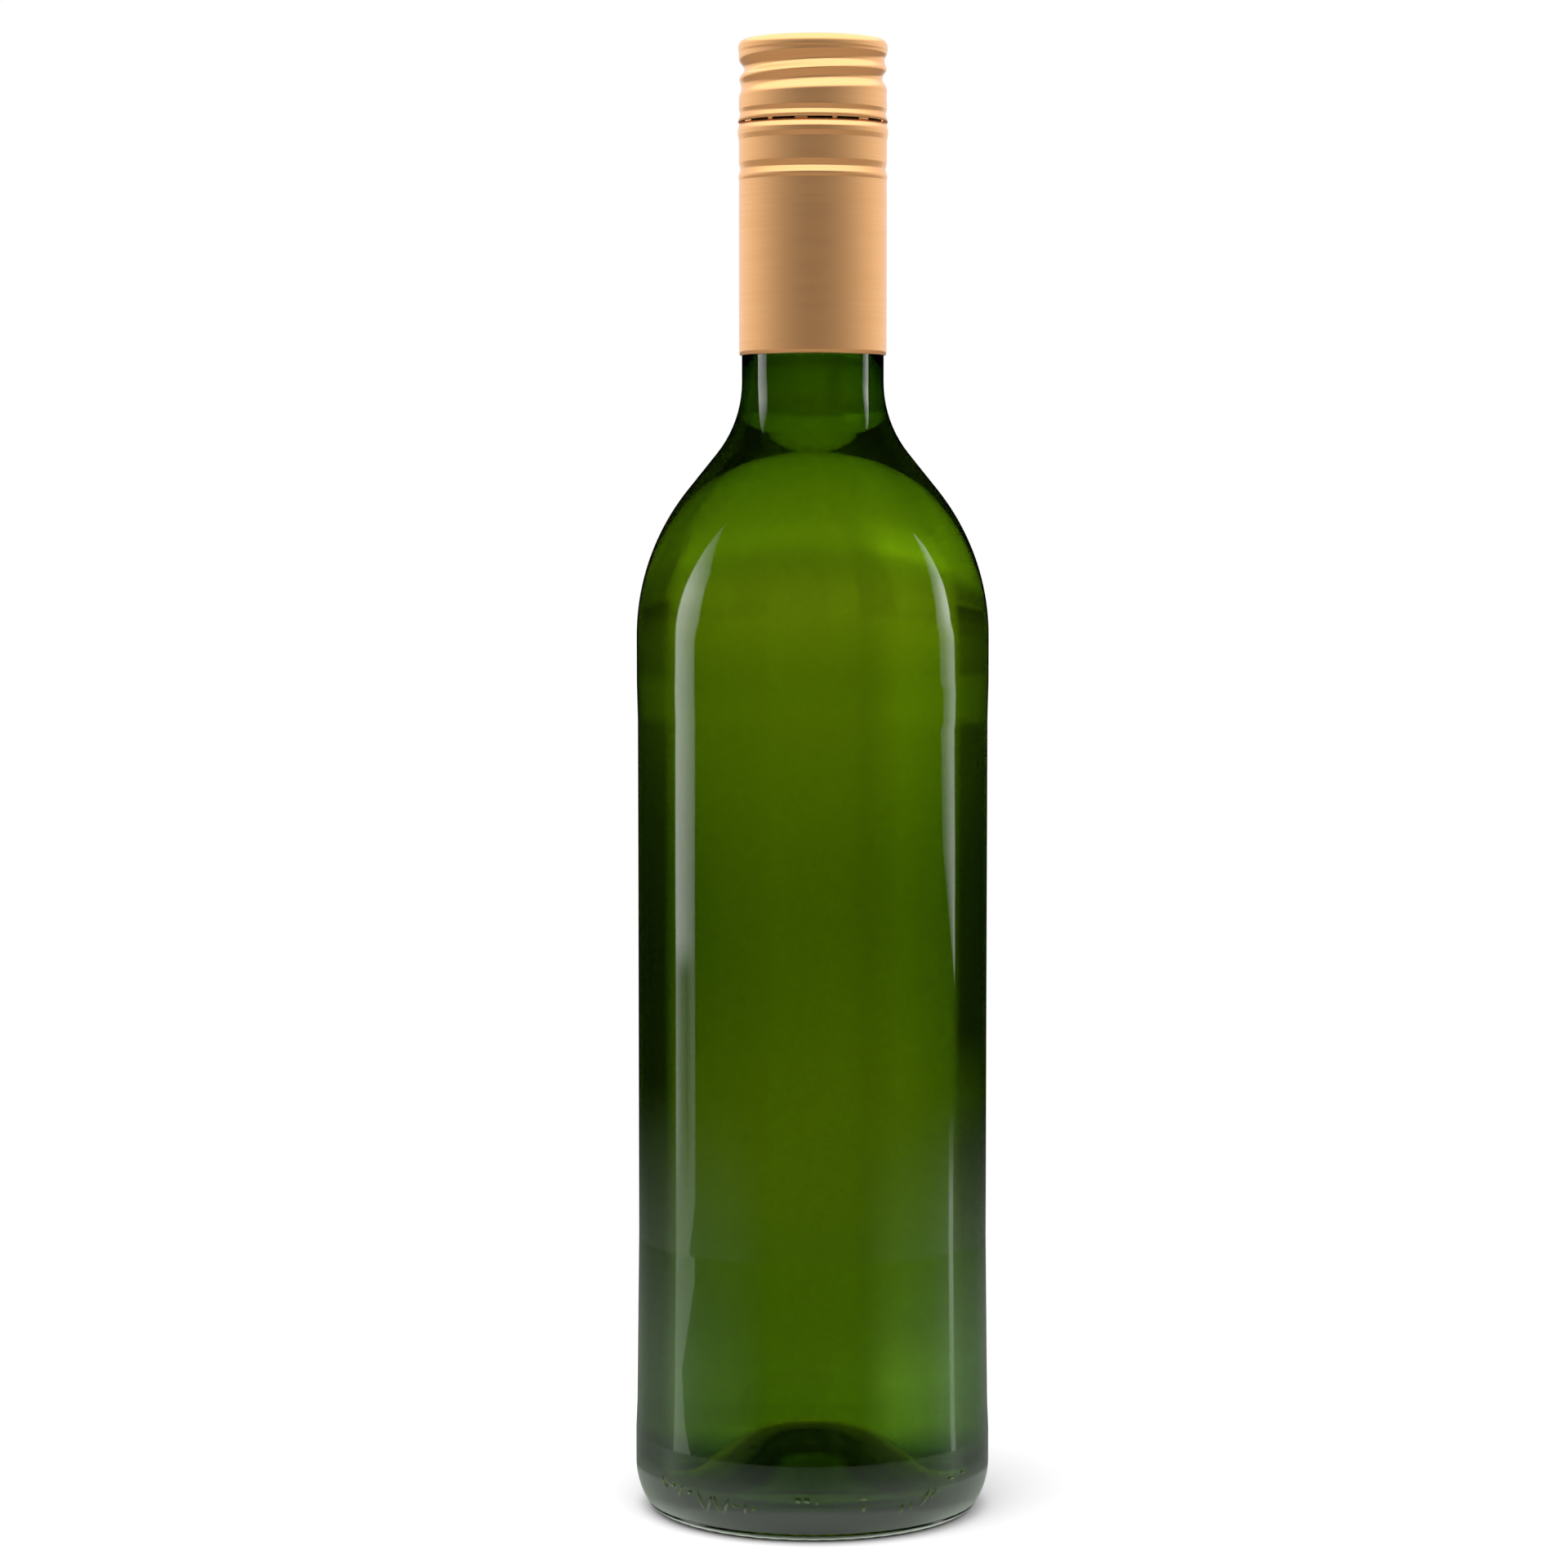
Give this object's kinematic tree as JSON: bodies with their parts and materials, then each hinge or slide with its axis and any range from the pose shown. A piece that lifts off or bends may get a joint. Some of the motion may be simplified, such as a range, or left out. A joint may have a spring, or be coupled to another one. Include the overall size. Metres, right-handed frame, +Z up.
{
  "type": "full glass wine bottle with a screw closure",
  "caption": "Round-shouldered green glass wine bottle with a punt, full of pale wine, under an unopened gold aluminium screw closure.",
  "frame": {"origin": "middle of the ring that the bottle stands on", "axes": "+Z up along the bottle's axis; the bottle is round, and -Y is the side that the slit's first bridge is measured from"},
  "size_m": [0.0754, 0.0754, 0.31],
  "materials": {
    "green_glass": "clear olive-green container glass, fire-polished",
    "white_wine": "clear pale straw-coloured wine",
    "gold_aluminium": "fine horizontal brushing under a gold lacquer",
    "liner_plastic": "white foamed polyethylene"
  },
  "bodies": {
    "root": {"glass_bottle": "green_glass", "wine": "white_wine", "closure": "gold_aluminium", "liner": "liner_plastic"}
  },
  "joints": []
}
